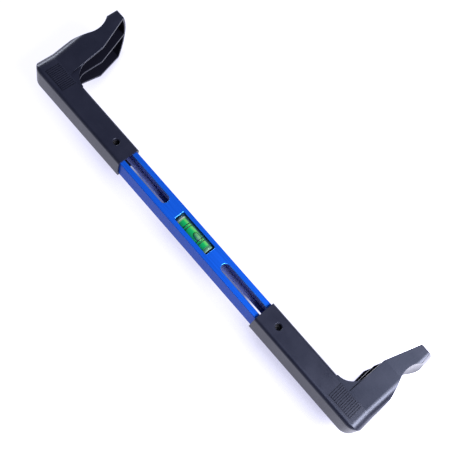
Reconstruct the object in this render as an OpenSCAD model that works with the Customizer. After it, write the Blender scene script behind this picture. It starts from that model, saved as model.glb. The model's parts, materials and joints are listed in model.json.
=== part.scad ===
// Adjustable level for a steering wheel: a square bar with a spirit vial,
// and two hooks that slide on its ends and take the wheel's rim between them.
// X runs along the bar, Y towards the finger tips, Z up through the vial window.
// The origin is the middle of the bar.

/* [Bar] */
// Length of the square bar
bar_l = 260; // [240:1:280]
// Width of the bar
bar_w = 20; // [19:0.5:24]
// Height of the bar
bar_h = 20; // [19:0.5:24]
// Wall of the bar
bar_wall = 1.6; // [1.2:0.1:2]
// Radius of the bar's long edges
bar_edge = 0.8; // [0.4:0.1:1.4]
// Width of the guide slots, which go through both faces
slot_w = 8.8; // [7.6:0.1:10]
// Distance from the middle of the bar to a slot's inner end
slot_in = 37.5; // [36:0.5:44]
// Land left between a slot's outer end and the end of the bar
slot_land = 9.5; // [6:0.5:14]

/* [Window and vial] */
// Length of the window in the top face
window_l = 43; // [41:0.5:47]
// Width of the window
window_w = 11.4; // [10.6:0.1:13]
// Radius of the window's corners
window_r = 1.2; // [0.6:0.1:3]
// Length of the vial
vial_l = 39; // [37:0.5:40]
// Outer diameter of the vial
vial_d = 10; // [9.2:0.1:10.4]
// Depth of the vial's axis below the top face
vial_drop = 5.1; // [5:0.1:7]
// Diameter of the vial's bore at the middle
bore_mid_d = 7.4; // [6.8:0.1:7.8]
// Diameter of the bore at its two ends
bore_end_d = 6.8; // [6:0.1:6.8]
// Thickness of the vial's closed end, and of the plug in the other
vial_end = 2.9; // [2:0.1:4]
// Distance between the two inner reading rings
ring_gap = 15.1; // [13:0.1:18]
// Distance between the two rings of a pair
ring_pair = 2.7; // [1.8:0.1:4]
// Width of a reading ring
ring_w = 0.6; // [0.4:0.1:1.2]
// Depth of the groove that holds a ring
ring_depth = 0.2; // [0.1:0.05:0.4]
// Length of the bubble
bubble_l = 10; // [7:0.5:12]
// Diameter of the bubble
bubble_d = 4.8; // [3.6:0.1:5.4]
// How far the bubble stands from the middle
bubble_off = 4; // [-4:0.5:4]

/* [Vial carrier] */
// Length of the carrier inside the bar
carrier_l = 62; // [58:1:68]
// Distance from the middle of the bar to each carrier screw
carrier_screw_x = 26; // [24.5:0.5:27]
// Diameter of the carrier screws
carrier_screw_d = 3; // [2.5:0.1:3.5]
// Head diameter of the carrier screws
carrier_head_d = 5.6; // [5:0.1:6]
// Length of the carrier screws
carrier_screw_l = 7; // [5:0.5:8]
// Width of the pale strip under the vial
backing_w = 6; // [4:0.5:7]
// Thickness of the pale strip
backing_t = 0.6; // [0.4:0.1:1]

/* [Hook sleeve] */
// How far each hook stands in from its outer stop, as set
hook_set = 6; // [0:0.1:60]
// Length of a hook from the sleeve's inner end to its outer wall
hook_l = 127.8; // [124:0.2:140]
// Side wall of the sleeve
side_wall = 1.6; // [1.2:0.1:2.4]
// Top and bottom wall of the sleeve
top_wall = 2.6; // [2:0.1:3.2]
// Running clearance between sleeve and bar, on each face
slide_gap = 0.3; // [0.2:0.05:0.5]
// Radius of the sleeve's long edges
sleeve_edge = 3.25; // [1.5:0.25:3.5]
// Radius of the hook's outer edges, top and bottom
outer_edge = 10.5; // [7:0.5:13]
// Radius of the hook's outer corner, seen from above
corner_r = 13; // [9:0.5:16]

/* [Finger] */
// Width of the finger where it leaves the sleeve
root_w = 29.8; // [26:0.2:33]
// Width of the finger at the kink
kink_w = 29.4; // [25:0.2:31]
// Distance from the sleeve's face to the kink
kink_y = 36.3; // [32:0.1:42]
// Distance from the sleeve's face to the tip's top edge
tip_y = 69.1; // [64:0.1:78]
// Distance from the outer wall to the tip's inner corner
tip_inner = 18; // [15:0.1:20]
// How far the tip stands out at mid height
tip_bulge = 7; // [3:0.5:9]
// How far the outer wall stands out at mid height
side_bulge = 8; // [4:0.5:10]
// Rise of the top plate above the sleeve at the kink
kink_rise = 11.8; // [9:0.1:14]
// Rise of the top plate above the sleeve at the tip
tip_rise = 19.4; // [16:0.1:22]
// How far inside the sleeve's face the plate starts to rise
crease_in = 2.4; // [1:0.1:4]
// Wall of the finger's plates, rib and end
finger_wall = 2.2; // [1.6:0.1:2.8]
// Radius of the concave gusset in the inner corner
gusset_r = 17; // [12:0.5:20]
// How far the gusset lies below the plate
gusset_step = 0.8; // [0.3:0.1:1]
// Radius of the scallop in the outer edge
scallop_r = 20.3; // [17:0.1:24]
// Distance from the sleeve's face to the scallop's centre
scallop_y = 45.1; // [42:0.1:50]
// Depth of the scallop into the finger, from the outer wall
scallop_deep = 11.4; // [8:0.1:13]
// Distance from the sleeve's face to the start of the scallop
scallop_start = 16.1; // [13:0.1:19]

/* [Grip grooves] */
// Distance from the outer wall to the grooved panel
panel_end = 14.8; // [11:0.1:18]
// Length of the grooved panel along the bar
panel_l = 26.9; // [20:0.1:34]
// Distance between grooves
groove_pitch = 2.07; // [1.6:0.01:3]
// Width of a groove
groove_w = 0.9; // [0.5:0.05:1.3]
// Depth of a groove
groove_deep = 0.5; // [0.3:0.05:0.9]
// Where the panel starts, measured from the middle of the sleeve
panel_low = 6.6; // [5:0.1:7.5]
// Where the panel stops, measured from the middle of the sleeve
panel_high = 8.4; // [6:0.1:9]

/* [Guide] */
// Distance from the sleeve's inner end to the guide screw
guide_u = 18.3; // [14:0.1:24]
// Diameter of the hole in the sleeve's top wall
guide_hole_d = 6; // [5.6:0.1:7]
// Chamfer round that hole
guide_chamfer = 0.75; // [0.3:0.05:1]
// Clearance of the guide bush in the slot, on each side
guide_gap = 0.3; // [0.2:0.05:0.5]
// Diameter of the guide screw
screw_d = 3; // [2.5:0.1:3.2]
// Head diameter of the guide screw
screw_head_d = 5.4; // [5:0.1:5.5]
// Head height of the guide screw
screw_head_h = 2.2; // [1.6:0.1:3]
// Depth of the head's seat below the top of the bush
head_seat = 4.5; // [3:0.1:6]
// Width across the flats of the guide nut
nut_af = 5.5; // [5:0.1:7]
// Thickness of the guide nut
nut_h = 1.8; // [1.5:0.1:2.4]
// Depth of the nut's pocket in the sleeve's bottom wall
nut_sink = 1.3; // [0.8:0.1:1.5]

/* [Hidden] */
$fn = 64;

// Small working clearances
fit_gap = 0.05;      // a screw or liner in its own hole
seal_gap = 0.02;     // liquid against the wall that holds it
carrier_gap = 0.1;   // carrier against the sides of the bar
stop_gap = 1;        // end of the bar to the end of the sleeve's hollow, fully closed
cut = 1;             // how far a cutting tool runs past a face
wall_past = 0.4;     // how far the finger's forms run past the bulging wall that trims them
end_past = 0.3;      // how far the sleeve's end runs past the finger's
bend_past = 0.3;     // how far past the outline's kink the plates bend
far = 200;           // longer than any piece of a hook

// Bar and what sits in it
bar_top = bar_h / 2;
inner_w = bar_w - 2 * bar_wall;
inner_h = bar_h - 2 * bar_wall;
slot_out = bar_l / 2 - slot_land;
vial_z = bar_top - vial_drop;
vial_r = vial_d / 2;
bore_half = vial_l / 2 - vial_end;
carrier_floor = -inner_h / 2;
trough_r = vial_r + carrier_gap;
backing_top = vial_z - vial_r - fit_gap;
bubble_z = vial_z + bore_mid_d / 2 - bubble_d / 2 + bubble_d / 12;
ring_xs = [for (sx = [-1, 1], out = [0, ring_pair]) sx * (ring_gap / 2 + out)];

// Sleeve
hollow_w = bar_w + 2 * slide_gap;
hollow_h = bar_h + 2 * slide_gap;
sleeve_w = hollow_w + 2 * side_wall;
sleeve_h = hollow_h + 2 * top_wall;
face_y = sleeve_w / 2;
face_z = sleeve_h / 2;

// Guide bush, where it sets the sleeve's inner end, and how deep the hollow is for the closed hook
bush_d = slot_w - 2 * guide_gap;
hook_x = slot_out - guide_gap - bush_d / 2 - guide_u - hook_set;
closed_x = slot_in + guide_gap + bush_d / 2 - guide_u;
hollow_l = bar_l / 2 - closed_x + stop_gap;
nut_z = -face_z + nut_sink;
screw_seat_z = hollow_h / 2 - head_seat;
screw_end_z = nut_z - nut_h;

// Finger outline, u from the sleeve's inner end and y from the bar's middle
crease_y = face_y - crease_in;
kink = [hook_l - kink_w, face_y + kink_y];
tip_half = face_z + tip_rise;
tip_end = face_y + tip_y + tip_bulge;
tip_reach = tip_end + cut;
root_lean = (root_w - kink_w) / kink_y;
tip_lean = (kink_w - tip_inner) / (tip_y - kink_y);
bend_y = kink_y + bend_past;
root_slope = atan2(kink_rise, bend_y + crease_in);
tip_slope = atan2(tip_rise - kink_rise, tip_y - bend_y);
scallop_c = [hook_l - scallop_deep + scallop_r, face_y + scallop_y];
scallop_from = [hook_l, face_y + scallop_start];
trim_u = hook_l + wall_past;
end_u = trim_u + end_past;

// Radius of an arc that stands out by a bulge over a half height
function bulge_r(half, bulge) = (half * half + bulge * bulge) / (2 * bulge);
tip_r = bulge_r(tip_half, tip_bulge);
side_r = bulge_r(tip_half, side_bulge);

// Point where a line from p touches the circle about c on its near side
function touch(p, c, r) =
    let (d = c - p, reach = norm(d), a = atan2(d[1], d[0]) + asin(r / reach))
    p + sqrt(reach * reach - r * r) * [cos(a), sin(a)];

// Half width of the vial's bore at a distance x from its middle
function bore_r(x) = (bore_mid_d - (bore_mid_d - bore_end_d) * pow(x / bore_half, 2)) / 2;

// Lays a shape that was drawn along Z down along X
module along_x() { rotate([0, 90, 0]) children(); }

// Draws a (Y, Z) outline and pulls it from x0 along X
module pull_x(x0, l) { translate([x0, 0, 0]) rotate([90, 0, 90]) linear_extrude(l) children(); }

// Rectangle with round corners, about the origin
module round_rect(w, h, r) {
    square([w - 2 * r, h], center = true);
    square([w, h - 2 * r], center = true);
    for (sx = [-1, 1], sy = [-1, 1]) translate([sx * (w / 2 - r), sy * (h / 2 - r)]) circle(r);
}

// Slot with round ends from x0 to x1
module slot_outline(x0, x1, w) {
    translate([x0 + w / 2, -w / 2]) square([x1 - x0 - w, w]);
    for (x = [x0 + w / 2, x1 - w / 2]) translate([x, 0]) circle(d = w);
}

// Cross-shaped driver recess, cut down from z = 0
module cross_recess(d, deep) {
    for (a = [0, 90]) rotate(a) translate([-d / 2, -d / 8, -deep]) cube([d, d / 4, deep + cut]);
}

// Places a carrier screw's axis at each end of the carrier, pointing up from the bottom face
module at_carrier_screws() {
    for (sx = [-1, 1]) translate([sx * carrier_screw_x, 0, -bar_h / 2]) children();
}

// Flat-headed screw form, grown all round by g
module flat_screw(g) {
    head_h = (carrier_head_d - carrier_screw_d) / 2;
    cylinder(h = carrier_screw_l + g, d = carrier_screw_d + 2 * g);
    cylinder(h = head_h, d1 = carrier_head_d + 2 * g, d2 = carrier_screw_d + 2 * g);
}

module bar() color("royalblue") difference() {
    pull_x(-bar_l / 2, bar_l) difference() {
        round_rect(bar_w, bar_h, bar_edge);
        square([inner_w, inner_h], center = true);
    }
    for (sx = [0, 1]) mirror([sx, 0, 0]) translate([0, 0, -bar_h / 2 - cut])
        linear_extrude(bar_h + 2 * cut) slot_outline(slot_in, slot_out, slot_w);
    linear_extrude(bar_h) round_rect(window_l, window_w, window_r);
    at_carrier_screws() flat_screw(fit_gap);
}

module vial_carrier() color("dimgray") difference() {
    carrier_w = inner_w - 2 * carrier_gap;
    trough_l = vial_l + 2 * carrier_gap;
    translate([-carrier_l / 2, -carrier_w / 2, carrier_floor])
        cube([carrier_l, carrier_w, vial_z - carrier_floor]);
    translate([-trough_l / 2, 0, vial_z]) along_x() cylinder(h = trough_l, r = trough_r);
    translate([-trough_l / 2, -backing_w / 2 - fit_gap, backing_top - backing_t])
        cube([trough_l, backing_w + 2 * fit_gap, vial_r + backing_t]);
    at_carrier_screws() flat_screw(fit_gap);
}

module carrier_screws() color("slategray") at_carrier_screws() difference() {
    flat_screw(0);
    mirror([0, 0, 1]) cross_recess(carrier_screw_d, carrier_screw_d / 3);
}

module vial_backing() color("white")
    translate([-vial_l / 2, -backing_w / 2, backing_top - backing_t])
        cube([vial_l, backing_w, backing_t]);

// The bore's barrel-shaped hollow, drawn in by g, from the closed end to the plug
module bore_form(g) {
    steps = 12;
    xs = [for (i = [0:steps]) bore_half * (2 * i / steps - 1)];
    translate([0, 0, vial_z]) along_x() rotate_extrude()
        polygon(concat([[0, -bore_half + g]],
                       [for (x = xs) [bore_r(x) - g, x * (bore_half - g) / bore_half]],
                       [[0, bore_half - g]]));
}

// The bubble, a long drop drawn in by g and flattened where it meets the top of the bore
module bubble_form(g) {
    half = bubble_l / 2 - g;
    r = bubble_d / 2 - g;
    steps = 16;
    translate([bubble_off, 0, bubble_z]) along_x() rotate_extrude()
        polygon([for (i = [0:steps]) let (a = 180 * i / steps - 90) [r * pow(cos(a), 0.7), half * sin(a)]]);
}

module vial_barrel() color("honeydew", 0.4) difference() {
    translate([-vial_l / 2, 0, vial_z]) along_x() cylinder(h = vial_l, r = vial_r);
    bore_form(0);
    translate([bore_half - cut, 0, vial_z]) along_x() cylinder(h = vial_end + 2 * cut, d = bore_end_d);
    for (x = ring_xs) translate([x, 0, 0]) ring_form(cut);
}

// One reading ring in its groove, reaching g past the vial's surface
module ring_form(g) {
    translate([-ring_w / 2, 0, vial_z]) along_x() difference() {
        cylinder(h = ring_w, r = vial_r + g);
        translate([0, 0, -cut]) cylinder(h = ring_w + 2 * cut, r = vial_r - ring_depth);
    }
}

module vial_rings() color("black") for (x = ring_xs) translate([x, 0, 0]) ring_form(0);

module vial_liquid() color("limegreen", 0.6) difference() {
    bore_form(seal_gap);
    bubble_form(0);
}

module vial_bubble() color("white", 0.3) intersection() {
    bore_form(seal_gap);
    bubble_form(seal_gap);
}

module vial_plug() color("honeydew", 0.6)
    translate([bore_half, 0, vial_z]) along_x() cylinder(h = vial_end, d = bore_end_d - 2 * seal_gap);

// Outline (u, y) of the finger, its outer side drawn in by g and its inner edge opened by o
module finger_plan(g, o) {
    outer = touch(scallop_from, scallop_c, scallop_r);
    turn = atan2(scallop_from[0] - outer[0], outer[1] - scallop_from[1]);
    from = scallop_from - g * [1, tan(turn / 2)];
    near = touch(from, scallop_c, scallop_r + g);
    past = from + (from - near) * cut / (from[0] - near[0]);
    difference() {
        polygon([[hook_l - root_w - o, 0], [hook_l - root_w - o, face_y], kink - [o, 0],
                 kink + (tip_reach - kink[1]) * [tip_lean, 1] - [o, 0], [past[0], tip_reach],
                 [past[0], scallop_c[1]], near, past, [past[0], 0]]);
        translate(scallop_c) circle(scallop_r + g);
    }
}

// Outline (u, y) of the gusset that fills the inner corner
module gusset_plan() difference() {
    edge = hook_l - root_w + root_lean * gusset_r;
    translate([edge - gusset_r, 0]) square([gusset_r + cut, face_y + gusset_r - gusset_r / far]);
    translate([edge - gusset_r, face_y + gusset_r]) circle(gusset_r);
}

// Side outline with its far top corner rounded, everything below z = 0 and short of u1
module rounded_below(u1, r) {
    translate([0, -far]) square([u1 - r, far]);
    translate([0, -far]) square([u1, far - r]);
    translate([u1 - r, -r]) circle(r);
}

// Everything short of u1 under a plate that starts at (y0, z0) and rises at a slope, drawn in by g
module under_plate(u1, y0, z0, slope, g)
    translate([0, y0, z0]) rotate([slope, 0, 0]) translate([0, far, -g]) rotate([90, 0, 0])
        linear_extrude(2 * far) rounded_below(u1 - g, outer_edge - g);

// What lies inside a shape and its mirror image below
module inside_both() intersection() {
    children();
    mirror([0, 0, 1]) children();
}

// What lies inside the outer wall, which stands out at mid height, drawn in by g
module inside_wall(g) translate([hook_l - side_r, far, 0]) rotate([90, 0, 0])
    cylinder(h = 2 * far, r = side_r - g, $fn = 128);

// What lies inside both plates, the outer wall and the tip's end, drawn in by g
module flare(g) intersection() {
    inside_both() under_plate(trim_u, crease_y, face_z, root_slope, g);
    inside_both() under_plate(trim_u, face_y + bend_y, face_z + kink_rise, tip_slope, g);
    translate([0, tip_end - tip_r, 0]) along_x() cylinder(h = far, r = tip_r - g, $fn = 128);
    inside_wall(g);
}

// Sleeve with its rounded outer corner, before it is hollowed
module sleeve_block() intersection() {
    corner = [end_u - corner_r, corner_r - face_y];
    union() {
        pull_x(0, corner[0]) round_rect(sleeve_w, sleeve_h, sleeve_edge);
        translate(corner) rotate_extrude() intersection() {
            round_rect(2 * corner_r, sleeve_h, sleeve_edge);
            translate([0, -face_z]) square([corner_r, sleeve_h]);
        }
        translate([corner[0], corner[1], -face_z]) cube([corner_r, face_y - corner[1], sleeve_h]);
    }
    inside_both() under_plate(end_u, 0, face_z, 0, 0);
    inside_wall(0);
}

module hook_body() difference() {
    union() {
        sleeve_block();
        intersection() {
            translate([0, 0, -far / 2]) linear_extrude(far) {
                finger_plan(0, 0);
                gusset_plan();
            }
            flare(0);
        }
    }
    // Hollow for the bar
    pull_x(-cut, hollow_l + cut) square([hollow_w, hollow_h], center = true);
    for (sz = [0, 1]) mirror([0, 0, sz]) {
        // Pocket between the middle rib and a plate, open towards the other hook
        intersection() {
            translate([0, 0, finger_wall / 2]) linear_extrude(far / 2) difference() {
                finger_plan(finger_wall, far / 4);
                translate([0, -far + face_y]) square([far, far]);
            }
            flare(finger_wall);
        }
        // Step down to the gusset
        translate([hook_l - root_w - gusset_r, crease_y, face_z]) rotate([root_slope, 0, 0])
            translate([-cut, 0, -gusset_step]) cube([gusset_r + cut, gusset_r + crease_in + cut, far / 4]);
        grip_grooves();
    }
    guide_holes();
}

// Fine grooves across the corner, joined by one along the sleeve
module grip_grooves() {
    count = floor(panel_l / groove_pitch);
    u1 = hook_l - panel_end;
    for (i = [0:count])
        translate([u1 - i * groove_pitch - groove_w / 2, -panel_low, face_z - groove_deep])
            cube([groove_w, panel_low + panel_high, groove_deep + cut]);
    translate([u1 - count * groove_pitch - groove_w / 2, -panel_low - groove_w / 2, face_z - groove_deep])
        cube([count * groove_pitch + groove_w, groove_w, groove_deep + cut]);
}

// Chamfered hole for the screw in the top wall; clearance hole and nut pocket in the bottom wall
module guide_holes() translate([guide_u, 0, 0]) {
    cylinder(h = face_z + cut, d = guide_hole_d);
    translate([0, 0, face_z - guide_chamfer])
        cylinder(h = guide_chamfer + fit_gap, d1 = guide_hole_d, d2 = guide_hole_d + 2 * guide_chamfer);
    translate([0, 0, -face_z - cut]) cylinder(h = face_z, d = screw_d + 4 * fit_gap);
    translate([0, 0, -face_z - cut]) hex(nut_af + 2 * fit_gap, nut_sink + cut);
}

// Hexagonal prism by its width across the flats
module hex(af, h) cylinder(h = h, d = af / cos(30), $fn = 6);

module guide_screw() translate([guide_u, 0, 0]) difference() {
    union() {
        translate([0, 0, screw_end_z]) cylinder(h = screw_seat_z - screw_end_z, d = screw_d);
        translate([0, 0, screw_seat_z]) cylinder(h = screw_head_h, d = screw_head_d);
    }
    translate([0, 0, screw_seat_z + screw_head_h]) cross_recess(screw_head_d * 0.6, screw_head_h * 0.6);
}

module guide_bush() translate([guide_u, 0, 0]) difference() {
    translate([0, 0, -hollow_h / 2]) cylinder(h = hollow_h, d = bush_d);
    translate([0, 0, -hollow_h / 2 - cut]) cylinder(h = hollow_h + 2 * cut, d = screw_d + 4 * fit_gap);
    translate([0, 0, screw_seat_z]) cylinder(h = head_seat + cut, d = guide_hole_d);
}

module guide_nut() translate([guide_u, 0, screw_end_z]) difference() {
    hex(nut_af, nut_h);
    translate([0, 0, -cut]) cylinder(h = nut_h + 2 * cut, d = screw_d + 2 * fit_gap);
}

// Sets a piece of a hook out to its place, on the right or mirrored to the left
module on_right() { translate([hook_x, 0, 0]) children(); }
module on_left() { mirror([1, 0, 0]) on_right() children(); }

module left_hook() color("#26282f") on_left() hook_body();
module left_guide_screw() color("#3a3a3c") on_left() guide_screw();
module left_guide_bush() color("#1c1c1e") on_left() guide_bush();
module left_guide_nut() color("silver") on_left() guide_nut();
module right_hook() color("#26282f") on_right() hook_body();
module right_guide_screw() color("#3a3a3c") on_right() guide_screw();
module right_guide_bush() color("#1c1c1e") on_right() guide_bush();
module right_guide_nut() color("silver") on_right() guide_nut();

bar();
vial_carrier();
carrier_screws();
vial_backing();
vial_barrel();
vial_liquid();
vial_bubble();
vial_plug();
vial_rings();
left_hook();
left_guide_screw();
left_guide_bush();
left_guide_nut();
right_hook();
right_guide_screw();
right_guide_bush();
right_guide_nut();
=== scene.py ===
import json
import math

import bmesh
import bpy
import numpy as np
from mathutils import Matrix, Vector

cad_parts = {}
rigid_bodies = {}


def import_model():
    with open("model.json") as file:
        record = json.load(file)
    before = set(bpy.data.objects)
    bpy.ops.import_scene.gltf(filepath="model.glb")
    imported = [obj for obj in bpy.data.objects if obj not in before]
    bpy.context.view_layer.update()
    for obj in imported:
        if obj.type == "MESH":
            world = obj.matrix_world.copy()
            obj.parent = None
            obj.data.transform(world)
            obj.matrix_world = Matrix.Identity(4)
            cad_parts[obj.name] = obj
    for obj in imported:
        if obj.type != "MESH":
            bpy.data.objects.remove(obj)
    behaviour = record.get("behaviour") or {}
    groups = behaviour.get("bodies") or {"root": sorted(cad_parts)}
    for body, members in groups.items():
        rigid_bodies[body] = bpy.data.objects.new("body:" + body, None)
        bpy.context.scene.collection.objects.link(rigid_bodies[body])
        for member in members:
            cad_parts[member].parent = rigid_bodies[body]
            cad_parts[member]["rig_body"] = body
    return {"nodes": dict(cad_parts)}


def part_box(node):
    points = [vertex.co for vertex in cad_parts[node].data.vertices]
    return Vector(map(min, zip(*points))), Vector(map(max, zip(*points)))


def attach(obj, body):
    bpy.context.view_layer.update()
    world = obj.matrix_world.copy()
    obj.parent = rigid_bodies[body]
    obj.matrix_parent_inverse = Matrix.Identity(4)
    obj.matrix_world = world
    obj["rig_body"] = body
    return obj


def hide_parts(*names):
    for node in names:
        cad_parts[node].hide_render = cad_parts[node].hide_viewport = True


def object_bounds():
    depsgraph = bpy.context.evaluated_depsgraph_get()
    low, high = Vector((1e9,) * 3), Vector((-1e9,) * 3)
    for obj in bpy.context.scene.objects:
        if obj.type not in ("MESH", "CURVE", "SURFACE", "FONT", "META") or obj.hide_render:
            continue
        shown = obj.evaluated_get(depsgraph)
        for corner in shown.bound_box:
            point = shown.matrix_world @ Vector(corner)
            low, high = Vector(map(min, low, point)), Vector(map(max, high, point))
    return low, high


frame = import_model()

mm = 0.001
bpy.context.view_layer.update()
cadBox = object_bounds()
print("frame loaded:", len(frame["nodes"]), "nodes")


def nodeBox(node):
    low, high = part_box(node)
    return np.array(low), np.array(high)


def addObject(name, data):
    thing = bpy.data.objects.new(name, data)
    bpy.context.scene.collection.objects.link(thing)
    return thing


# Material helpers

noiseSpan = (0.3, 0.7)                    # most of a noise's values lie between these


def newMaterial(name):
    material = bpy.data.materials.new(name)
    material.use_nodes = True
    return material, material.node_tree.nodes["Principled BSDF"]


def addNode(owner, kind, **values):
    node = owner.node_tree.nodes.new(kind)
    for key, value in values.items():
        if key in node.inputs:
            node.inputs[key].default_value = value
        else:
            setattr(node, key, value)
    return node


def joinNodes(owner, source, target):
    owner.node_tree.links.new(source, target)


def feed(owner, value, socket):
    # A number or a colour is set on the socket, and another node's output is joined to it
    if isinstance(value, bpy.types.NodeSocket):
        joinNodes(owner, value, socket)
    else:
        socket.default_value = value


def objectPlace(material):
    return addNode(material, "ShaderNodeTexCoord").outputs["Object"]


def splitAxes(owner, vector):
    axes = addNode(owner, "ShaderNodeSeparateXYZ")
    joinNodes(owner, vector, axes.inputs["Vector"])
    return axes.outputs


def objectNoise(material, scale, stretch=(1, 1, 1), detail=3.0, rough=0.55):
    mapping = addNode(material, "ShaderNodeMapping", Scale=stretch)
    noise = addNode(material, "ShaderNodeTexNoise", Scale=scale, Detail=detail, Roughness=rough)
    joinNodes(material, objectPlace(material), mapping.inputs["Vector"])
    joinNodes(material, mapping.outputs["Vector"], noise.inputs["Vector"])
    return noise.outputs["Fac"]


def rampThrough(owner, factor, stops):
    # Colours at their places from 0 to 1, blended in between
    ramp = addNode(owner, "ShaderNodeValToRGB")
    points = ramp.color_ramp.elements
    points[0].position, points[0].color = stops[0]
    points[1].position, points[1].color = stops[-1]
    for place, colour in stops[1:-1]:
        points.new(place).color = colour
    joinNodes(owner, factor, ramp.inputs["Fac"])
    return ramp.outputs["Color"]


def rampBetween(owner, factor, low, high, span=noiseSpan):
    return rampThrough(owner, factor, [(span[0], low), (span[1], high)])


def mapSpan(owner, factor, fromLow, fromHigh, toLow, toHigh, blend="LINEAR"):
    span = addNode(owner, "ShaderNodeMapRange", interpolation_type=blend)
    span.inputs["From Min"].default_value, span.inputs["From Max"].default_value = fromLow, fromHigh
    span.inputs["To Min"].default_value, span.inputs["To Max"].default_value = toLow, toHigh
    joinNodes(owner, factor, span.inputs["Value"])
    return span.outputs["Result"]


def mathNode(owner, operation, *values):
    node = addNode(owner, "ShaderNodeMath", operation=operation)
    for value, socket in zip(values, node.inputs):
        feed(owner, value, socket)
    return node.outputs["Value"]


def between(owner, value, low, high):
    # 1 where the value lies between two limits and 0 elsewhere
    above = mathNode(owner, "GREATER_THAN", value, low)
    return mathNode(owner, "MULTIPLY", above, mathNode(owner, "LESS_THAN", value, high))


def alongSide(owner, vector, side):
    # How far a vector reaches towards a side: their dot product
    dot = addNode(owner, "ShaderNodeVectorMath", operation="DOT_PRODUCT")
    for value, socket in zip((vector, side), dot.inputs):
        feed(owner, value, socket)
    return dot.outputs["Value"]


def mixColour(owner, factor, low, high):
    mix = addNode(owner, "ShaderNodeMix", data_type="RGBA")
    for value, socket in ((factor, mix.inputs[0]), (low, mix.inputs[6]), (high, mix.inputs[7])):
        feed(owner, value, socket)        # a Mix node has its colours at 6 and 7
    return mix.outputs[2]                 # and its mixed colour at 2


def roundedNormal(material, radius):
    # The normal that an edge rounded to this radius would show
    bevel = addNode(material, "ShaderNodeBevel", samples=8)
    feed(material, radius, bevel.inputs["Radius"])
    return bevel.outputs["Normal"]


def hollowness(material, reach, openShare, deepShare, ownOnly):
    # 0 in the open and 1 deep in a hollow, from how much of the room within reach is taken up, by the same
    # piece only or by any
    room = addNode(material, "ShaderNodeAmbientOcclusion", Distance=reach, samples=6, only_local=ownOnly)
    return mapSpan(material, room.outputs["AO"], openShare, deepShare, 0.0, 1.0)


def edgeWear(material, rounded, startTurn, fullTurn):
    # 0 on a face and 1 on an edge, from how far the rounded normal turns away from the face's own
    faceNormal = addNode(material, "ShaderNodeNewGeometry").outputs["Normal"]
    return mapSpan(material, alongSide(material, rounded, faceNormal), startTurn, fullTurn, 0.0, 1.0)


def addBump(material, shader, height, strength, depth, rounded=None):
    bump = addNode(material, "ShaderNodeBump", Strength=strength, Distance=depth)
    joinNodes(material, height, bump.inputs["Height"])
    if rounded is not None:
        joinNodes(material, rounded, bump.inputs["Normal"])
    joinNodes(material, bump.outputs["Normal"], shader.inputs["Normal"])


# Camera

photoCamera = {
    "place": (116.37, -235.12, 613.68),   # mm, fitted to the part's edges in the photo
    "aim": (9.14, 31.22, 0.0),            # mm, where the view's middle meets the bar's mid plane
    "roll": 28.36,                        # degrees about the line of sight
    "focal": 744.07,                      # pixels
    "frame": 450,                         # pixels across the picture
    "sensor": 36.0,                       # mm
    "clip": (0.01, 50.0),                 # metres, nearest and farthest seen
}


def pointAt(place, aim):
    return (Vector(aim) - Vector(place)).to_track_quat("-Z", "Y").to_matrix()


def makeCamera(s):
    data = bpy.data.cameras.new("photoCamera")
    data.sensor_width = s["sensor"]
    data.lens = s["focal"] * s["sensor"] / s["frame"]
    data.clip_start, data.clip_end = s["clip"]
    camera = addObject("photoCamera", data)
    turn = pointAt(s["place"], s["aim"]) @ Matrix.Rotation(math.radians(s["roll"]), 3, "Z")
    camera.matrix_world = Matrix.Translation(Vector(s["place"]) * mm) @ turn.to_4x4()
    bpy.context.scene.camera = camera


# Floor, sky and softboxes

floorSheet = {
    "drop": 0.3 * mm,                     # below the lowest finger edge
    "reach": 4.0,                         # half its width
    "colour": (0.08, 0.08, 0.085, 1),
    "rough": 0.8,
    "shine": 0.1,
    "glow": (0.93, 0.93, 1.10, 1),        # a sheet lit from below, which keeps the shadows pale
    "brightSide": (1.0, 0.8, 0.0),        # it grows brighter towards the key light
    "brightAlong": (0.17, 0.31),          # where that starts and ends
    "brightest": 3.2,                     # times as bright there
    "shadeReach": 28.0 * mm,              # how far a solid shades the sheet under it
    "shadeOpen": (0.88, 0.50),            # open share of the room where that shade starts and is full
    "shadeGlow": (0.40, 0.40, 0.58, 1),   # the glow left there
    "shadeAlong": (-0.20, -0.06),         # that shade is weak before the first and full past the second
    "shadeLeast": 0.25,                   # share of it that is left where it is weak
    "underColour": (0.02, 0.025, 0.055, 1),  # painted shadow of the bar on the sheet, seen through its slots
    "underGlow": (0.10, 0.12, 0.25, 1),
    "underMiddle": 12.5 * mm,             # its middle line, behind the bar
    "underAcross": (2.0 * mm, 13.0 * mm),    # distance from there where it starts to fade and is gone
    "underLeft": (-124.0 * mm, -84.0 * mm),  # where it starts and is full, along the bar
    "underRight": (66.0 * mm, 84.0 * mm),    # where it starts to fade and is gone
}


def contactShade(material, s, along):
    # Shade under the solids, weaker on the left
    shade = hollowness(material, s["shadeReach"], *s["shadeOpen"], ownOnly=False)
    fade = mapSpan(material, along, *s["shadeAlong"], s["shadeLeast"], 1.0)
    return mathNode(material, "MULTIPLY", shade, fade)


def paintedBarShadow(material, s):
    # A painted shadow: a strip along the bar that fades at its sides and ends
    axes = splitAxes(material, objectPlace(material))
    aside = mathNode(material, "ABSOLUTE", mathNode(material, "SUBTRACT", axes["Y"], s["underMiddle"]))
    across = mapSpan(material, aside, *s["underAcross"], 1.0, 0.0, "SMOOTHSTEP")
    left = mapSpan(material, axes["X"], *s["underLeft"], 0.0, 1.0)
    right = mapSpan(material, axes["X"], *s["underRight"], 1.0, 0.0)
    return mathNode(material, "MULTIPLY", across, mathNode(material, "MULTIPLY", left, right))


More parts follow.
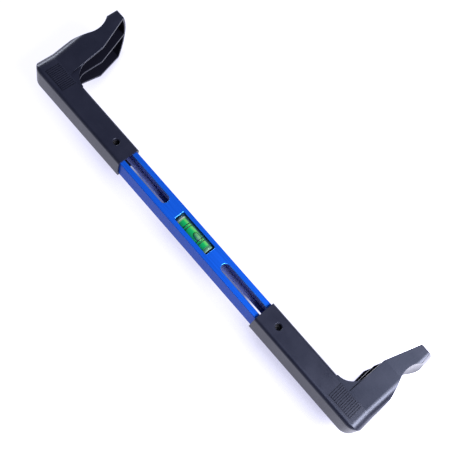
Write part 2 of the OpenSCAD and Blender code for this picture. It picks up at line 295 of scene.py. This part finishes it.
def paleFloor(s):
    material, shader = newMaterial("paleFloor")
    material.cycles.emission_sampling = "NONE"   # rays find so wide a lamp by themselves, with less noise
    shader.inputs["Roughness"].default_value = s["rough"]
    shader.inputs["Specular IOR Level"].default_value = s["shine"]
    along = alongSide(material, objectPlace(material), s["brightSide"])
    bright = mapSpan(material, along, *s["brightAlong"], 1.0, s["brightest"], "SMOOTHSTEP")
    joinNodes(material, bright, shader.inputs["Emission Strength"])
    # the painted shadow strip darkens both the glow and the colour
    under = paintedBarShadow(material, s)
    glow = mixColour(material, contactShade(material, s, along), s["glow"], s["shadeGlow"])
    joinNodes(material, mixColour(material, under, glow, s["underGlow"]), shader.inputs["Emission Color"])
    colour = mixColour(material, under, s["colour"], s["underColour"])
    joinNodes(material, colour, shader.inputs["Base Color"])
    return material


def makeFloor(s):
    reach, z = s["reach"], cadBox[0].z - s["drop"]
    corners = [(-reach, -reach, z), (reach, -reach, z), (reach, reach, z), (-reach, reach, z)]
    mesh = bpy.data.meshes.new("studioFloor")
    mesh.from_pydata(corners, [], [(0, 1, 2, 3)])
    mesh.materials.append(paleFloor(s))
    floor = addObject("studioFloor", mesh)


softSky = {
    "low": (0.40, 0.42, 0.52, 1),         # near the horizon
    "high": (0.102, 0.114, 0.164, 1),     # overhead
    "turn": (0.10, 0.60),                 # where the one blends into the other, as sines of the height
    "dark": (0.015, 0.017, 0.028, 1),     # the room behind the camera
    "darkSide": (0.40, -0.90, 0.0),       # where that lies
    "darkTurn": (0.60, 0.80),             # where it starts and is full, looking towards that side
}


def makeSky(s):
    # Pale round the horizon, dim overhead and dark behind the camera
    world = bpy.data.worlds.new("softSky")
    bpy.context.scene.world = world
    world.use_nodes = True
    direction = addNode(world, "ShaderNodeTexCoord").outputs["Generated"]
    colour = rampBetween(world, splitAxes(world, direction)["Z"], s["low"], s["high"], s["turn"])
    dark = mapSpan(world, alongSide(world, direction, s["darkSide"]), *s["darkTurn"], 0.0, 1.0)
    background = world.node_tree.nodes["Background"]
    joinNodes(world, mixColour(world, dark, colour, s["dark"]), background.inputs["Color"])


softboxes = {
    "keySoftbox": {"place": (0.76, 0.15, 0.86), "width": 0.80, "height": 0.46, "power": 41.0,
                   "colour": (0.96, 0.945, 1.0)},
    "topSoftbox": {"place": (0.37, 0.02, 0.92), "width": 0.36, "height": 0.34, "power": 1.2,
                   "colour": (0.70, 0.82, 1.0)},
    "leftSoftbox": {"place": (-1.00, 0.22, 0.25), "width": 0.90, "height": 0.20, "power": 8.0,
                    "colour": (0.92, 0.94, 1.0)},
}
softboxAim = (0.03, 0.02, 0.0)            # metres, as their places


def makeSoftbox(name, s):
    data = bpy.data.lights.new(name, "AREA")
    data.shape, data.size, data.size_y = "RECTANGLE", s["width"], s["height"]
    data.energy, data.color = s["power"], s["colour"]
    lamp = addObject(name, data)
    turn = pointAt(s["place"], softboxAim)
    lamp.matrix_world = Matrix.Translation(Vector(s["place"])) @ turn.to_4x4()


# Finish of the hooks

charcoalFinish = {
    "dark": (0.0064, 0.0072, 0.0140, 1),
    "light": (0.0092, 0.0100, 0.0185, 1),
    "rubbed": (0.018, 0.019, 0.030, 1),   # edges and scuffs
    "wearTurn": (0.985, 0.80),            # cosines of an edge's turn where the rubbing starts and is full
    "cloud": 38.0,                        # broad shade changes, per metre
    "grain": 2600.0,                      # fine moulded grain, per metre
    "grainDepth": 0.012 * mm,
    "grainStrength": 0.3,
    "scuff": 420.0,                       # scuffs, per metre
    "scuffStretch": (0.12, 1.0, 1.0),     # they run along the bar
    "scuffSpan": (0.62, 0.78),            # only the noise's highest values show
    "scuffMost": 0.5,
    "smooth": 0.26,
    "rough": 0.40,
    "shine": 0.36,
    "shineTint": (0.74, 0.80, 1.0, 1),
    "softEdge": 0.75 * mm,                # radius of the finger's edges, while the sleeve's are sharp
    "softFrom": (14.0 * mm, 24.0 * mm),   # distance from the bar's middle over which edges turn soft
    "holeEdge": 0.5 * mm,                 # radius of the screw hole's mouth
    "holeReach": (4.2 * mm, 5.2 * mm),    # distance from the hole's middle where that starts to end
    # painted shade in the finger's pockets and the grip's grooves: their colour, roughness and shine
    "pocket": (0.0028, 0.0028, 0.0060, 1),
    "pocketRough": 0.80,
    "pocketTint": (0.14, 0.15, 0.20, 1),  # the shine left in a pocket under its painted shade
    "pocketFrom": (11.5 * mm, 13.5 * mm),  # pockets lie past the sleeve's face
    "pocketReach": 40.0 * mm,
    "pocketOpen": (0.88, 0.60),           # open share of the room where a pocket's painted shade starts and is full
    "grooveAlong": (177.0 * mm, 206.0 * mm),  # the grip panel, from the middle of the bar
    "grooveAcross": (-7.1 * mm, 8.6 * mm),
    "grooveHeight": (12.0 * mm, 12.82 * mm),  # from under the grooves to just under the sleeve's face
    "grooveShare": 0.45,                  # how dark the painted shade in a groove is against a pocket's
}


def mouthRadius(material, s, axes):
    # Rounding of the screw hole's mouth: full near the hole and none away from it
    screwLow, screwHigh = nodeBox("right_guide_screw")
    holeX = float(screwLow[0] + screwHigh[0]) / 2
    along = mathNode(material, "SUBTRACT", mathNode(material, "ABSOLUTE", axes["X"]), holeX)
    squares = mathNode(material, "ADD", mathNode(material, "MULTIPLY", along, along),
                       mathNode(material, "MULTIPLY", axes["Y"], axes["Y"]))
    return mapSpan(material, mathNode(material, "SQRT", squares), *s["holeReach"], s["holeEdge"], 0.0)


def pocketShadeMask(material, s, axes):
    # Painted shade in the hollows between the finger's ribs
    past = mapSpan(material, axes["Y"], *s["pocketFrom"], 0.0, 1.0)
    deep = hollowness(material, s["pocketReach"], *s["pocketOpen"], ownOnly=True)
    return mathNode(material, "MULTIPLY", past, deep)


def grooveShadeMask(material, s, axes):
    # Painted shade in the grip's grooves: between the panel's ends and sides, below the sleeve's top face
    along = between(material, mathNode(material, "ABSOLUTE", axes["X"]), *s["grooveAlong"])
    across = between(material, axes["Y"], *s["grooveAcross"])
    height = between(material, axes["Z"], *s["grooveHeight"])
    panel = mathNode(material, "MULTIPLY", along, across)
    return mathNode(material, "MULTIPLY", mathNode(material, "MULTIPLY", panel, height), s["grooveShare"])


def charcoalMoulding(s):
    material, shader = newMaterial("charcoalMoulding")
    cloud = objectNoise(material, s["cloud"], detail=5.0)
    grain = objectNoise(material, s["grain"], detail=2.0)
    scuff = objectNoise(material, s["scuff"], stretch=s["scuffStretch"], detail=5.0, rough=0.7)
    axes = splitAxes(material, objectPlace(material))
    radius = mapSpan(material, axes["Y"], *s["softFrom"], 0.0, s["softEdge"])
    rounded = roundedNormal(material, mathNode(material, "MAXIMUM", radius, mouthRadius(material, s, axes)))
    # painted shade of the pockets and grooves, carried into colour, roughness and shine
    hollow = mathNode(material, "MAXIMUM", pocketShadeMask(material, s, axes), grooveShadeMask(material, s, axes))
    colour = rampBetween(material, cloud, s["dark"], s["light"])
    scuffed = mapSpan(material, scuff, *s["scuffSpan"], 0.0, s["scuffMost"])
    colour = mixColour(material, scuffed, colour, s["rubbed"])
    colour = mixColour(material, edgeWear(material, rounded, *s["wearTurn"]), colour, s["rubbed"])
    joinNodes(material, mixColour(material, hollow, colour, s["pocket"]), shader.inputs["Base Color"])
    tone = mathNode(material, "MULTIPLY", mathNode(material, "ADD", cloud, grain), 0.5)  # their mean
    gloss = mapSpan(material, tone, *noiseSpan, s["smooth"], s["rough"])
    dull = mathNode(material, "MULTIPLY", hollow, s["pocketRough"])
    joinNodes(material, mathNode(material, "MAXIMUM", gloss, dull), shader.inputs["Roughness"])
    shader.inputs["Specular IOR Level"].default_value = s["shine"]
    tint = mixColour(material, hollow, s["shineTint"], s["pocketTint"])
    joinNodes(material, tint, shader.inputs["Specular Tint"])
    addBump(material, shader, grain, s["grainStrength"], s["grainDepth"], rounded)
    return material


# Finishes of the bar

anodisedFinish = {
    "deep": (0.0040, 0.056, 0.37, 1),
    "bright": (0.0052, 0.072, 0.45, 1),
    "inside": (0.12, 0.15, 0.40, 1),      # the tube's inside, painted lighter and greyer than the outside to stand in for light in its shade
    "insideHalf": 8.45 * mm,              # just within its inner faces
    "streak": 900.0,                      # drawing lines per metre across the bar
    "stretch": (0.02, 1, 1),              # lines run along the bar
    "lineDepth": 0.008 * mm,
    "lineStrength": 0.3,
    "smooth": 0.30,
    "rough": 0.42,
    "metal": 0.35,
    "shine": 0.03,
    "cut": (0.020, 0.17, 0.66, 1),        # edges of the window and slots, where the blue is rubbed thin
    "cutWorn": (0.06, 0.30, 0.85, 1),
    "cutRough": 0.22,
    "cutMetal": 0.9,
}


def blueAnodised(s):
    material, shader = newMaterial("blueAnodised")
    streak = objectNoise(material, s["streak"], stretch=s["stretch"], detail=4.0)
    axes = splitAxes(material, objectPlace(material))
    fromAxis = mathNode(material, "MAXIMUM", mathNode(material, "ABSOLUTE", axes["Y"]),
                        mathNode(material, "ABSOLUTE", axes["Z"]))
    inside = mathNode(material, "LESS_THAN", fromAxis, s["insideHalf"])
    colour = rampBetween(material, streak, s["deep"], s["bright"])
    # painted light: the tube's inside gets the lighter colour
    joinNodes(material, mixColour(material, inside, colour, s["inside"]), shader.inputs["Base Color"])
    gloss = mapSpan(material, streak, *noiseSpan, s["smooth"], s["rough"])
    joinNodes(material, gloss, shader.inputs["Roughness"])
    joinNodes(material, mapSpan(material, inside, 0.0, 1.0, s["metal"], 0.0), shader.inputs["Metallic"])
    shader.inputs["Specular IOR Level"].default_value = s["shine"]
    addBump(material, shader, streak, s["lineStrength"], s["lineDepth"])
    return material


def cutEdgeMetal(s):
    material, shader = newMaterial("cutEdgeMetal")
    wear = objectNoise(material, s["streak"])
    joinNodes(material, rampBetween(material, wear, s["cut"], s["cutWorn"]), shader.inputs["Base Color"])
    gloss = mapSpan(material, wear, *noiseSpan, s["cutRough"], s["rough"])
    joinNodes(material, gloss, shader.inputs["Roughness"])
    shader.inputs["Metallic"].default_value = s["cutMetal"]
    return material


# Plain finishes of the small pieces

plainSurface = {
    "spread": 0.06,                       # the roughness varies this much to either side
    "depth": 0.01 * mm,
    "strength": 0.25,
    "edge": 0.15 * mm,                    # radius that edges seem to have
}

plainFinishes = {
    # the carrier's dark plastic, painted lighter teal to stand in for light in the shaded gap beside the vial
    "dark_plastic": {"name": "carrierPlastic", "dark": (0.010, 0.070, 0.105, 1),
                     "light": (0.014, 0.095, 0.140, 1), "rough": 0.50, "metal": 0.0, "grain": 1200.0},
    "white_strip": {"name": "paleStrip", "dark": (0.70, 0.72, 0.66, 1),
                    "light": (0.80, 0.82, 0.76, 1), "rough": 0.50, "metal": 0.0, "grain": 1200.0},
    "black_line": {"name": "ringInk", "dark": (0.004, 0.006, 0.006, 1),
                   "light": (0.010, 0.013, 0.012, 1), "rough": 0.40, "metal": 0.0, "grain": 1200.0},
    "zinc_steel": {"name": "zincSteel", "dark": (0.42, 0.42, 0.44, 1),
                   "light": (0.60, 0.60, 0.62, 1), "rough": 0.32, "metal": 1.0, "grain": 900.0},
    "black_steel": {"name": "blackSteel", "dark": (0.02, 0.02, 0.022, 1),
                    "light": (0.045, 0.045, 0.05, 1), "rough": 0.38, "metal": 0.8, "grain": 1200.0},
    "bush_nylon": {"name": "bushNylon", "dark": (0.012, 0.012, 0.014, 1),
                   "light": (0.022, 0.022, 0.026, 1), "rough": 0.45, "metal": 0.0, "grain": 1200.0},
}


def plainFinish(s, surface):
    material, shader = newMaterial(s["name"])
    grain = objectNoise(material, s["grain"])
    joinNodes(material, rampBetween(material, grain, s["dark"], s["light"]), shader.inputs["Base Color"])
    smooth, rough = s["rough"] - surface["spread"], s["rough"] + surface["spread"]
    joinNodes(material, mapSpan(material, grain, *noiseSpan, smooth, rough), shader.inputs["Roughness"])
    shader.inputs["Metallic"].default_value = s["metal"]
    rounded = roundedNormal(material, surface["edge"])
    addBump(material, shader, grain, surface["strength"], surface["depth"], rounded)
    return material


# Finishes of the vial

clearFinish = {
    "bands": [                            # place along the barrel, from its closed end, and colour there: painted reflections and refraction in the solid ends, dark and pale bands at each end
        (0.000, (0.16, 0.24, 0.17, 1)),
        (0.024, (0.012, 0.035, 0.075, 1)),
        (0.050, (0.28, 0.36, 0.28, 1)),
        (0.072, (0.13, 0.23, 0.10, 1)),
        (0.100, (0.10, 0.28, 0.17, 1)),
        (0.915, (0.10, 0.28, 0.17, 1)),
        (0.932, (0.004, 0.040, 0.026, 1)),
        (0.945, (0.060, 0.17, 0.085, 1)),
        (0.980, (0.080, 0.20, 0.11, 1)),
        (1.000, (0.24, 0.36, 0.30, 1)),
    ],
    "thin": 0.015,                        # cover seen square on
    "rim": 0.32,                          # cover seen along the wall
    "rimSpan": (0.1, 1.0),                # how far the wall turns away where the one becomes the other
    "rimBlend": 0.35,
    "end": 0.80,                          # cover of the solid ends
    "endFrom": (15.8 * mm, 16.6 * mm),
    "smear": 160.0,                       # finger marks, per metre
    "gloss": (0.03, 0.12),                # least and most roughness
}


def clearAcrylic(s):
    material, shader = newMaterial("clearAcrylic")
    axes = splitAxes(material, objectPlace(material))
    low, high = nodeBox("vial_barrel")
    along = mapSpan(material, axes["X"], low[0], high[0], 0.0, 1.0)
    joinNodes(material, rampThrough(material, along, s["bands"]), shader.inputs["Base Color"])
    ends = mapSpan(material, mathNode(material, "ABSOLUTE", axes["X"]), *s["endFrom"], 0.0, s["end"])
    facing = addNode(material, "ShaderNodeLayerWeight", Blend=s["rimBlend"]).outputs["Facing"]
    wall = mapSpan(material, facing, *s["rimSpan"], s["thin"], s["rim"])
    joinNodes(material, mathNode(material, "MAXIMUM", wall, ends), shader.inputs["Alpha"])
    smear = objectNoise(material, s["smear"], detail=4.0)
    joinNodes(material, mapSpan(material, smear, *noiseSpan, *s["gloss"]), shader.inputs["Roughness"])
    return material


liquidFinish = {
    "across": [                           # place across the liquid, from -Y to +Y, and colour there: the liquid's green with painted light, lighter yellow-green towards +Y
        (0.00, (0.010, 0.200, 0.085, 1)),
        (0.18, (0.0006, 0.185, 0.052, 1)),
        (0.46, (0.0008, 0.190, 0.050, 1)),
        (0.60, (0.030, 0.260, 0.054, 1)),
        (0.74, (0.078, 0.290, 0.056, 1)),
        (0.90, (0.045, 0.185, 0.080, 1)),
        (1.00, (0.030, 0.16, 0.085, 1)),
    ],
    "half": 4.85 * mm,                    # half its width as drawn
    "drift": 220.0,                       # slow waver of these bands, per metre
    "driftStretch": (0.4, 1, 1),
    "driftMost": 0.5 * mm,
    "gloss": (0.08, 0.16),                # least and most roughness
    "glow": 0.22,                         # painted glow, standing in for light that comes through the liquid
}


def greenLiquid(s):
    material, shader = newMaterial("greenLiquid")
    axes = splitAxes(material, objectPlace(material))
    drift = objectNoise(material, s["drift"], stretch=s["driftStretch"], detail=2.0)
    waver = mapSpan(material, drift, *noiseSpan, -s["driftMost"], s["driftMost"])
    across = mathNode(material, "ADD", axes["Y"], waver)
    colour = rampThrough(material, mapSpan(material, across, -s["half"], s["half"], 0.0, 1.0), s["across"])
    joinNodes(material, colour, shader.inputs["Base Color"])
    # painted glow: the liquid shines with its own painted colours
    joinNodes(material, colour, shader.inputs["Emission Color"])
    shader.inputs["Emission Strength"].default_value = s["glow"]
    joinNodes(material, mapSpan(material, drift, *noiseSpan, *s["gloss"]), shader.inputs["Roughness"])
    return material


bubbleFinish = {
    "across": [                           # place across the bubble, from -Y to +Y, and colour there: painted shade and reflection, dark teal at the -Y rim, grey-green in the middle, dark towards +Y
        (0.00, (0.0, 0.060, 0.048, 1)),
        (0.26, (0.0, 0.105, 0.075, 1)),
        (0.46, (0.060, 0.235, 0.080, 1)),
        (0.70, (0.085, 0.24, 0.10, 1)),
        (0.88, (0.020, 0.070, 0.080, 1)),
        (1.00, (0.012, 0.12, 0.055, 1)),
    ],
    "half": 3.1 * mm,                     # half its width as drawn
    "thin": 0.80,                         # cover seen square on
    "rim": 0.95,                          # cover seen along its skin
    "rimSpan": (0.1, 0.8),
    "rimBlend": 0.4,
    "dullFrom": (1.0 * mm, 5.0 * mm),     # the gas is glossy up to here along the vial and dull past there
    "gloss": (0.03, 0.60),                # roughness of the one and the other
    "shine": 1.0,
}


def gasBubble(s):
    material, shader = newMaterial("gasBubble")
    axes = splitAxes(material, objectPlace(material))
    across = mapSpan(material, axes["Y"], -s["half"], s["half"], 0.0, 1.0)
    joinNodes(material, rampThrough(material, across, s["across"]), shader.inputs["Base Color"])
    facing = addNode(material, "ShaderNodeLayerWeight", Blend=s["rimBlend"]).outputs["Facing"]
    joinNodes(material, mapSpan(material, facing, *s["rimSpan"], s["thin"], s["rim"]), shader.inputs["Alpha"])
    dull = mapSpan(material, axes["X"], *s["dullFrom"], *s["gloss"])
    joinNodes(material, dull, shader.inputs["Roughness"])
    shader.inputs["Specular IOR Level"].default_value = s["shine"]
    return material


# Bar with its cut edges broken

barEdges = {
    "broken": 0.55 * mm,                  # radius left on the edges of the slots and on the window's ends
    "steps": 3,
    "cutAngle": 60.0,                     # least angle in degrees between two faces that make a cut edge
    "within": 5.5 * mm,                   # from the middle line, which leaves out the window's long edges
    "face": 0.1 * mm,                     # how far from a face an edge still counts as on it
    "endLand": 5.0 * mm,                  # the bar's own ends are left as sawn
    "weld": 0.001 * mm,
    "flatAngle": 0.4,                     # degrees up to which two triangles are one face
    "sharpAngle": 35.0,                   # degrees past which shading breaks
}


def makeBar(s, skin, cutEdge):
    # A copy of the bar whose slots and window ends have rounded edges at the top and bottom faces
    high = nodeBox("bar")[1]
    work = bmesh.new()
    work.from_mesh(frame["nodes"]["bar"].data)
    bmesh.ops.remove_doubles(work, verts=work.verts, dist=s["weld"])
    flat = math.radians(s["flatAngle"])
    bmesh.ops.dissolve_limit(work, angle_limit=flat, verts=work.verts, edges=work.edges)
    limit, onFace, endX = math.radians(s["cutAngle"]), high[2] - s["face"], high[0] - s["endLand"]

    def atCut(point):
        return abs(point.z) > onFace and abs(point.y) < s["within"] and abs(point.x) < endX

    cut = [e for e in work.edges if len(e.link_faces) == 2 and e.calc_face_angle() > limit
           and all(atCut(v.co) for v in e.verts)]
    bmesh.ops.bevel(work, geom=cut, offset=s["broken"], offset_type="OFFSET", segments=s["steps"],
                    profile=0.5, affect="EDGES", clamp_overlap=False, material=1)
    mesh = bpy.data.meshes.new("blueBar")
    work.to_mesh(mesh)
    work.free()
    mesh.polygons.foreach_set("use_smooth", np.ones(len(mesh.polygons), bool))
    mesh.set_sharp_from_angle(angle=math.radians(s["sharpAngle"]))
    mesh.materials.append(skin)
    mesh.materials.append(cutEdge)
    bar = addObject("blueBar", mesh)
    weighted = bar.modifiers.new("flatFaces", "WEIGHTED_NORMAL")
    weighted.keep_sharp = True
    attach(bar, frame["nodes"]["bar"]["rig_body"])
    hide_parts("bar")
    print("made blueBar", len(cut), "edges broken,", len(mesh.polygons), "faces")


# Surfaces worked out on grids

gridSurface = {
    "weld": 0.00001 * mm,                 # points of a closed end nearer than this become one
    "sharpAngle": 40.0,                   # degrees past which shading breaks
}


def surfacePiece(name, grid, material, body, replaced, closeRows=False):
    # grid[i, j] is point j round section i: each section closes on itself, neighbouring sections are joined,
    # and a section drawn together to one point closes the end
    rows, count = grid.shape[:2]
    index = np.arange(rows * count).reshape(rows, count)
    here = index if closeRows else index[:-1]
    there = np.roll(index, -1, axis=0) if closeRows else index[1:]
    quads = np.stack([here, np.roll(here, -1, 1), np.roll(there, -1, 1), there], -1).reshape(-1, 4)
    mesh = bpy.data.meshes.new(name)
    mesh.from_pydata(grid.reshape(-1, 3), [], quads)
    work = bmesh.new()
    work.from_mesh(mesh)
    bmesh.ops.remove_doubles(work, verts=work.verts, dist=gridSurface["weld"])
    bmesh.ops.recalc_face_normals(work, faces=work.faces)
    work.to_mesh(mesh)
    work.free()
    mesh.polygons.foreach_set("use_smooth", np.ones(len(mesh.polygons), bool))
    mesh.set_sharp_from_angle(angle=math.radians(gridSurface["sharpAngle"]))
    mesh.materials.append(material)
    piece = addObject(name, mesh)
    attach(piece, body)
    if replaced:
        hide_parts(*replaced)
    print("made", name, len(mesh.polygons), "faces")


def turnedAbout(profile, axisZ, count):
    # A profile of (x, r) points turned about a line along X: y = r cos a, z = axis + r sin a
    angle = np.linspace(0, 2 * np.pi, count, endpoint=False)
    x, r = profile[:, 0, None], profile[:, 1, None]
    return np.stack([x + 0 * angle, r * np.cos(angle), axisZ + r * np.sin(angle)], -1)


def seenThroughWall(grid, axisZ, lens):
    # Draws a form out from the vial's axis, as the barrel's thick wall makes it look: y and z grow lens times
    return np.stack([grid[..., 0], lens * grid[..., 1], axisZ + lens * (grid[..., 2] - axisZ)], -1)


# Spirit vial

vialForm = {
    "endRound": 0.7 * mm,                 # rounding of the barrel's two ends
    "mouthBreak": 0.2 * mm,               # edge broken at the bore's mouth
    "ringWidth": 0.6 * mm,
    "ringPair": 2.7 * mm,                 # between the two rings of a pair
    "ringDepth": 0.2 * mm,
    "ringProud": 0.03 * mm,
    "ringCrown": 0.6,                     # flat share of a ring's face
    "plugGap": 0.02 * mm,                 # plug to the bore
    "plugSunk": 0.15 * mm,                # plug below the barrel's end
    "plugEdge": 0.3 * mm,                 # rounding of its rims
    "plugBow": 0.3,                       # share of that rounding at which a rim's middle point lies
    "wallGap": 0.05 * mm,                 # liquid to the bore's wall
    "bubbleGap": 0.08 * mm,               # bubble to the liquid
    "bubbleBlunt": 0.35,                  # power that makes the bubble a long drop with blunt ends
    "lens": 1.31,                         # how much wider the thick wall makes the liquid and bubble look
    "around": 96,                         # points round a section
    "boreSteps": 33,                      # points along the bore
    "endSteps": 7,                        # round the barrel's ends
    "liquidSteps": 221,                   # along the liquid, which takes the bubble's form
    "bubbleSteps": 49,                    # along the bubble
}


def vialSizes(s):
    barrelLow, barrelHigh = nodeBox("vial_barrel")
    liquidLow, liquidHigh = nodeBox("vial_liquid")
    plugLow, plugHigh = nodeBox("vial_plug")
    ringHigh = nodeBox("vial_rings")[1]
    bubbleLow, bubbleHigh = nodeBox("vial_bubble")
    outerRing = ringHigh[0] - s["ringWidth"] / 2
    bubbleRadius = (bubbleHigh[1] - bubbleLow[1]) / 2
    return {
        "axis": (barrelLow[2] + barrelHigh[2]) / 2,
        "radius": (barrelHigh[1] - barrelLow[1]) / 2,
        "half": barrelHigh[0],
        "boreHalf": plugLow[0],
        "boreMid": (liquidHigh[1] - liquidLow[1]) / 2,
        "boreEnd": (plugHigh[1] - plugLow[1]) / 2,
        "rings": np.outer([-1, 1], [outerRing, outerRing - s["ringPair"]]).ravel(),
        "bubbleMid": (bubbleLow[0] + bubbleHigh[0]) / 2,
        "bubbleHalf": (bubbleHigh[0] - bubbleLow[0]) / 2,
        "bubbleRadius": bubbleRadius,
        "bubbleAxis": bubbleLow[2] + bubbleRadius,
    }


def boreRadius(v, x):
    # The bore is barrel-shaped: widest at the middle, drawn in towards its ends with the distance squared
    return v["boreMid"] - (v["boreMid"] - v["boreEnd"]) * (x / v["boreHalf"]) ** 2


def bubbleSection(s, v, x):
    # Half width of the bubble along the vial: a blunt drop, (1 - t squared) to a power
    t = np.clip((x - v["bubbleMid"]) / v["bubbleHalf"], -1, 1)
    return v["bubbleRadius"] * (1 - t * t) ** s["bubbleBlunt"]


def barrelGrid(s, v):
    # Profile from the bore's closed end along the bore, out round the open end, back along the outside with a
    # groove for each ring, and round the closed end to the axis
    half, radius, edge, broken = v["half"], v["radius"], s["endRound"], s["mouthBreak"]
    along = np.linspace(-v["boreHalf"], v["boreHalf"], s["boreSteps"])
    bore = np.stack([along, boreRadius(v, along)], -1)
    mouth = np.array([[half - broken, v["boreEnd"]], [half, v["boreEnd"] + broken]])
    turn = np.linspace(0, np.pi / 2, s["endSteps"])
    across, out = edge * (1 - np.cos(turn)), radius - edge + edge * np.sin(turn)
    openEnd = np.stack([half - across, out], -1)
    closedEnd = np.stack([across - half, out], -1)[::-1]
    low, w = radius - s["ringDepth"], s["ringWidth"] / 2
    step = np.array([[w, radius], [w, low], [-w, low], [-w, radius]])
    grooves = np.concatenate([step + [x, 0] for x in np.sort(v["rings"])[::-1]])
    poles = np.array([[-v["boreHalf"], 0.0], [-half, 0.0]])
    profile = np.concatenate([poles[:1], bore, mouth, openEnd, grooves, closedEnd, poles[1:]])
    return turnedAbout(profile, v["axis"], s["around"])


def liquidGrid(s, v):
    # The bore's form drawn in by a gap; under the bubble its top drops to the bubble's underside
    reach = v["boreHalf"] - s["wallGap"]
    x = np.linspace(-reach, reach, s["liquidSteps"])
    r = boreRadius(v, x) - s["wallGap"]
    x, r = np.concatenate([x[:1], x, x[-1:]]), np.concatenate([[0], r, [0]])
    grid = turnedAbout(np.stack([x, r], -1), v["axis"], 2 * s["around"])
    wide = bubbleSection(s, v, grid[..., 0])
    y, z = grid[..., 1], grid[..., 2]
    under = v["bubbleAxis"] - np.sqrt(np.clip(wide ** 2 - y ** 2, 0, None))
    grid[..., 2] = np.where((np.abs(y) < wide) & (z > v["axis"]), np.minimum(z, under), z)
    return seenThroughWall(grid, v["axis"], s["lens"])


def bubbleGrid(s, v):
    # The blunt drop, drawn in by a gap and flattened where it meets the top of the bore
    turn = np.linspace(-np.pi / 2, np.pi / 2, s["bubbleSteps"])
    x = v["bubbleMid"] + (v["bubbleHalf"] - s["bubbleGap"]) * np.sin(turn)
    r = np.clip(bubbleSection(s, v, x) - s["bubbleGap"], 0, None)
    r[[0, -1]] = 0
    grid = turnedAbout(np.stack([x, r], -1), v["bubbleAxis"], s["around"])
    bore = boreRadius(v, grid[..., 0]) - s["wallGap"]
    roof = v["axis"] + np.sqrt(np.clip(bore ** 2 - grid[..., 1] ** 2, 0, None))
    grid[..., 2] = np.minimum(grid[..., 2], roof)
    return seenThroughWall(grid, v["axis"], s["lens"])


def ringGrid(s, v, x):
    # A flat band with a crowned face, six points of (x, r), carried round the barrel
    w, crown = s["ringWidth"] / 2, s["ringCrown"] * s["ringWidth"] / 2
    low, brim, high = v["radius"] - s["ringDepth"], v["radius"], v["radius"] + s["ringProud"]
    band = np.array([[-w, low], [w, low], [w, brim], [crown, high], [-crown, high], [-w, brim]])
    return turnedAbout(band + [x, 0], v["axis"], s["around"])


def plugGrid(s, v):
    # A disc with rounded rims, as (x, r) points: out along one face, round both rims and back to the axis
    edge, bow = s["plugEdge"], s["plugBow"] * s["plugEdge"]
    near, far, r = v["boreHalf"] + s["plugGap"], v["half"] - s["plugSunk"], v["boreEnd"] - s["plugGap"]
    nearRim = [[near, r - edge], [near + bow, r - bow], [near + edge, r]]
    farRim = [[far - edge, r], [far - bow, r - bow], [far, r - edge]]
    return turnedAbout(np.array([[near, 0], *nearRim, *farRim, [far, 0]]), v["axis"], s["around"])


# Putting it together

makeCamera(photoCamera)
makeFloor(floorSheet)
makeSky(softSky)
for lightName, lightSettings in softboxes.items():
    makeSoftbox(lightName, lightSettings)
bpy.context.scene.view_settings.view_transform = "Standard"
print("studio ready")

finishes = {
    "charcoal_abs": charcoalMoulding(charcoalFinish),
    "blue_anodised": blueAnodised(anodisedFinish),
    "clear_acrylic": clearAcrylic(clearFinish),
    "green_liquid": greenLiquid(liquidFinish),
    "gas": gasBubble(bubbleFinish),
}
for slotName, plainSettings in plainFinishes.items():
    finishes[slotName] = plainFinish(plainSettings, plainSurface)
print("finishes:", len(finishes))

nodeFinish = {
    "bar": "blue_anodised", "vial_carrier": "dark_plastic", "vial_backing": "white_strip",
    "carrier_screws": "zinc_steel", "hook": "charcoal_abs", "guide_screw": "black_steel",
    "guide_bush": "bush_nylon", "guide_nut": "zinc_steel",
}
for nodeName, nodeObject in frame["nodes"].items():
    plainName = nodeName.replace("left_", "").replace("right_", "")
    if plainName in nodeFinish:
        for holder in nodeObject.material_slots:
            holder.material = finishes[nodeFinish[plainName]]
print("solids dressed")

makeBar(barEdges, finishes["blue_anodised"], cutEdgeMetal(anodisedFinish))
vial = vialSizes(vialForm)
vialBody = frame["nodes"]["vial_barrel"]["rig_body"]
surfacePiece("vialBarrel", barrelGrid(vialForm, vial), finishes["clear_acrylic"], vialBody,
             ["vial_barrel"])
surfacePiece("vialLiquid", liquidGrid(vialForm, vial), finishes["green_liquid"], vialBody,
             ["vial_liquid"])
surfacePiece("vialBubble", bubbleGrid(vialForm, vial), finishes["gas"], vialBody, ["vial_bubble"])
surfacePiece("vialPlug", plugGrid(vialForm, vial), finishes["clear_acrylic"], vialBody,
             ["vial_plug"])
for ringIndex, ringX in enumerate(vial["rings"]):
    surfacePiece(f"vialRing{ringIndex + 1}", ringGrid(vialForm, vial, ringX), finishes["black_line"],
                 vialBody, ["vial_rings"] if ringIndex == 0 else [], True)
print("vial ready")

bpy.context.view_layer.update()
